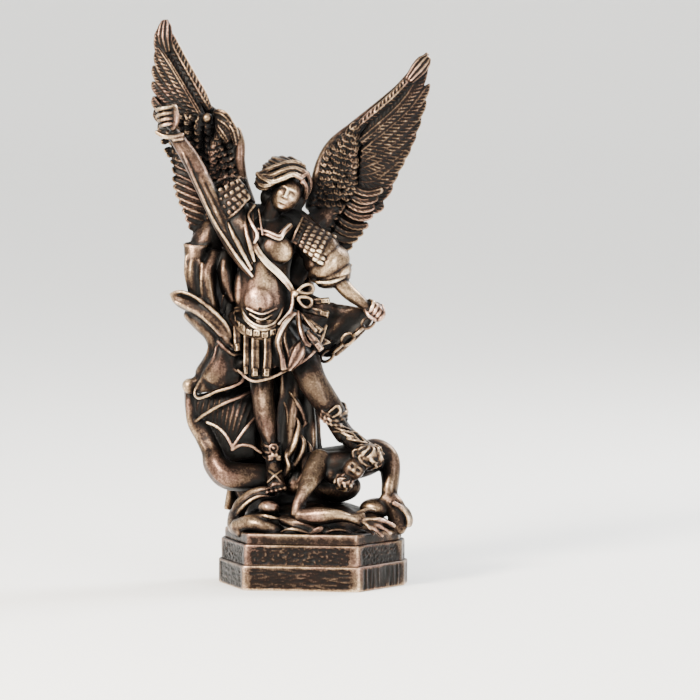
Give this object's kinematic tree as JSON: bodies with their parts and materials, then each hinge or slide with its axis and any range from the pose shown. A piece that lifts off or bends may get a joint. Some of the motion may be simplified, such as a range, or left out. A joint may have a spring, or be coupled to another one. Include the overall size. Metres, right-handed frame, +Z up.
{
  "type": "winged archangel statuette",
  "caption": "Small cast statuette of a winged archangel in Roman armour standing over a fallen demon on a two-step plinth with cut corners.",
  "frame": {"origin": "centre of the plinth's underside", "axes": "+X to the right of the plinth's front, +Y away from the viewer of the front, +Z up"},
  "size_m": [0.0648, 0.0431, 0.13],
  "materials": {
    "bronzed_resin": "antique copper-bronze paint on cast resin, dark in the hollows and dry-brushed bright on the high places"
  },
  "bodies": {
    "root": {"statue": "bronzed_resin"}
  },
  "joints": []
}
